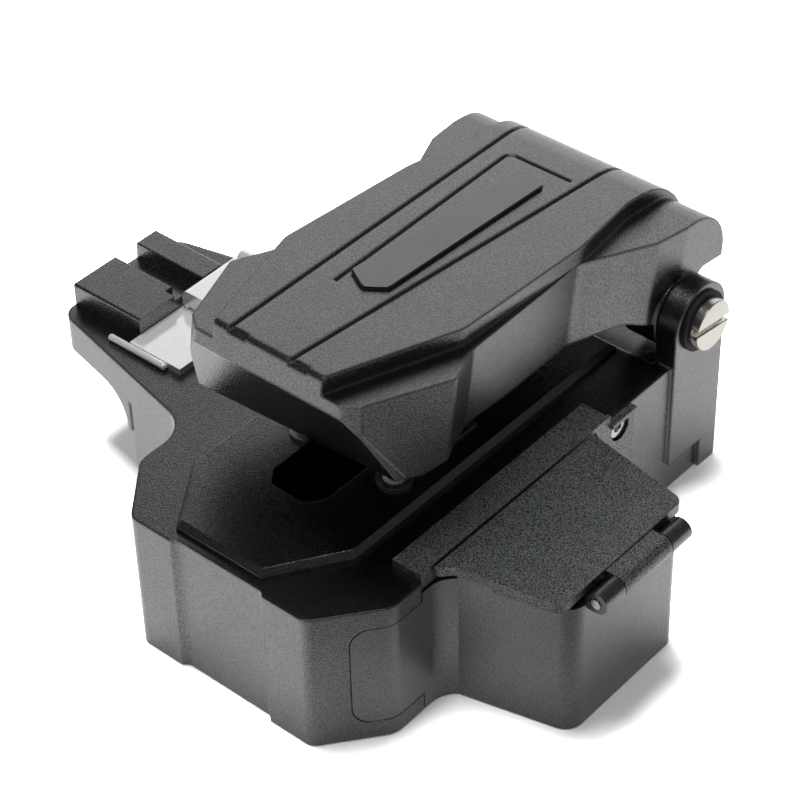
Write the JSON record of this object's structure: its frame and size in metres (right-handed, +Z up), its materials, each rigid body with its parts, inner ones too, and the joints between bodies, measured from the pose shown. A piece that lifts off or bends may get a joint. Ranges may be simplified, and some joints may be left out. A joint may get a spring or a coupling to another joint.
{
  "type": "fibre cleaver",
  "caption": "Bench fibre cleaver with a sprung lid, a sliding blade carriage, a grooved fibre holder with a polished clamp, and a clip-on scrap bin.",
  "frame": {"origin": "on the resting face, under the point where the fibre breaks: the lid's centre plane crossed with the fibre line", "axes": "+X along the fibre towards the scrap bin, +Y back towards the lid's hinge, +Z up"},
  "size_m": [0.1235, 0.1089, 0.0639],
  "materials": {
    "black_paint": "fine satin powder coat",
    "deck_black": "grained satin coat",
    "textured_black": "coarse spark-eroded texture",
    "bin_black": "satin moulded",
    "gloss_black": "semi-gloss, bare",
    "black_plastic": "matt moulded",
    "holder_plastic": "matt anodised look",
    "rubber": "matt",
    "pad_rubber": "smooth",
    "steel": "turned",
    "nickel": "bright nickel",
    "polished_steel": "mirror polished",
    "black_screw": "blackened",
    "bronze": "sintered",
    "carriage_alloy": "bead blasted"
  },
  "bodies": {
    "base": {"base_body": "black_paint", "top_plate": "deck_black", "bottom_cover": "black_plastic", "cover_screws": "steel", "sole_pad": "rubber", "stop_buttons": "nickel", "button_rings": "steel", "holder_block": "holder_plastic", "holder_screws": "black_screw", "guide_plate": "polished_steel", "clamp_pin": "steel", "pad_seats": "steel", "lower_pads": "pad_rubber", "carriage_rail": "steel", "rail_screws": "steel", "hinge_shaft": "steel", "hinge_screws": "nickel", "hinge_washers": "rubber", "bin_bracket": "textured_black", "bracket_screw": "nickel", "bracket_washer": "rubber"},
    "lid": {"lid_shell": "black_paint", "name_bar": "gloss_black", "inner_plate": "black_plastic", "inner_screws": "steel", "pad_holders": "steel", "upper_pads": "pad_rubber", "lid_bumpers": "rubber", "lid_bushes": "bronze", "lid_spring": "steel"},
    "anvil": {"anvil_stem": "steel", "anvil_tip": "polished_steel", "anvil_spring": "steel"},
    "carriage": {"carriage_block": "carriage_alloy", "blade_axle": "steel", "axle_clips": "steel", "height_screw": "steel"},
    "blade": {"blade_wheel": "polished_steel", "blade_hub": "carriage_alloy"},
    "clamp": {"fibre_clamp": "polished_steel", "clamp_pad": "pad_rubber"},
    "bin": {"bin_body": "bin_black", "flap_pin": "nickel"},
    "flap": {"bin_flap": "textured_black"}
  },
  "joints": [
    {"name": "lid_hinge", "type": "hinge", "parent": "base", "child": "lid", "pos_m": [0, 0.0476, 0.0364], "axis": [-1, 0, 0], "range_deg": [-9, 50], "stiffness_Nm_per_rad": 0.6},
    {"name": "anvil_travel", "type": "slide", "parent": "lid", "child": "anvil", "axis": [0, 0.1564, 0.9877], "range_m": [0, 0.0012], "stiffness_N_per_m": 600, "deforming": ["anvil_spring"]},
    {"name": "carriage_slide", "type": "slide", "parent": "base", "child": "carriage", "axis": [0, -1, 0], "range_m": [0, 0.026]},
    {"name": "blade_turn", "type": "hinge", "parent": "carriage", "child": "blade", "pos_m": [0, 0.013, 0.02225], "axis": [1, 0, 0], "continuous": true},
    {"name": "clamp_hinge", "type": "hinge", "parent": "base", "child": "clamp", "pos_m": [-0.0423, 0.0126, 0.0333], "axis": [-1, 0, 0], "range_deg": [0, 80]},
    {"name": "bin_slide", "type": "slide", "parent": "base", "child": "bin", "axis": [1, 0, 0], "range_m": [0, 0.03]},
    {"name": "flap_hinge", "type": "hinge", "parent": "bin", "child": "flap", "pos_m": [0.0544, -0.0031, 0.0285], "axis": [0, 1, 0], "range_deg": [0, 100]}
  ]
}
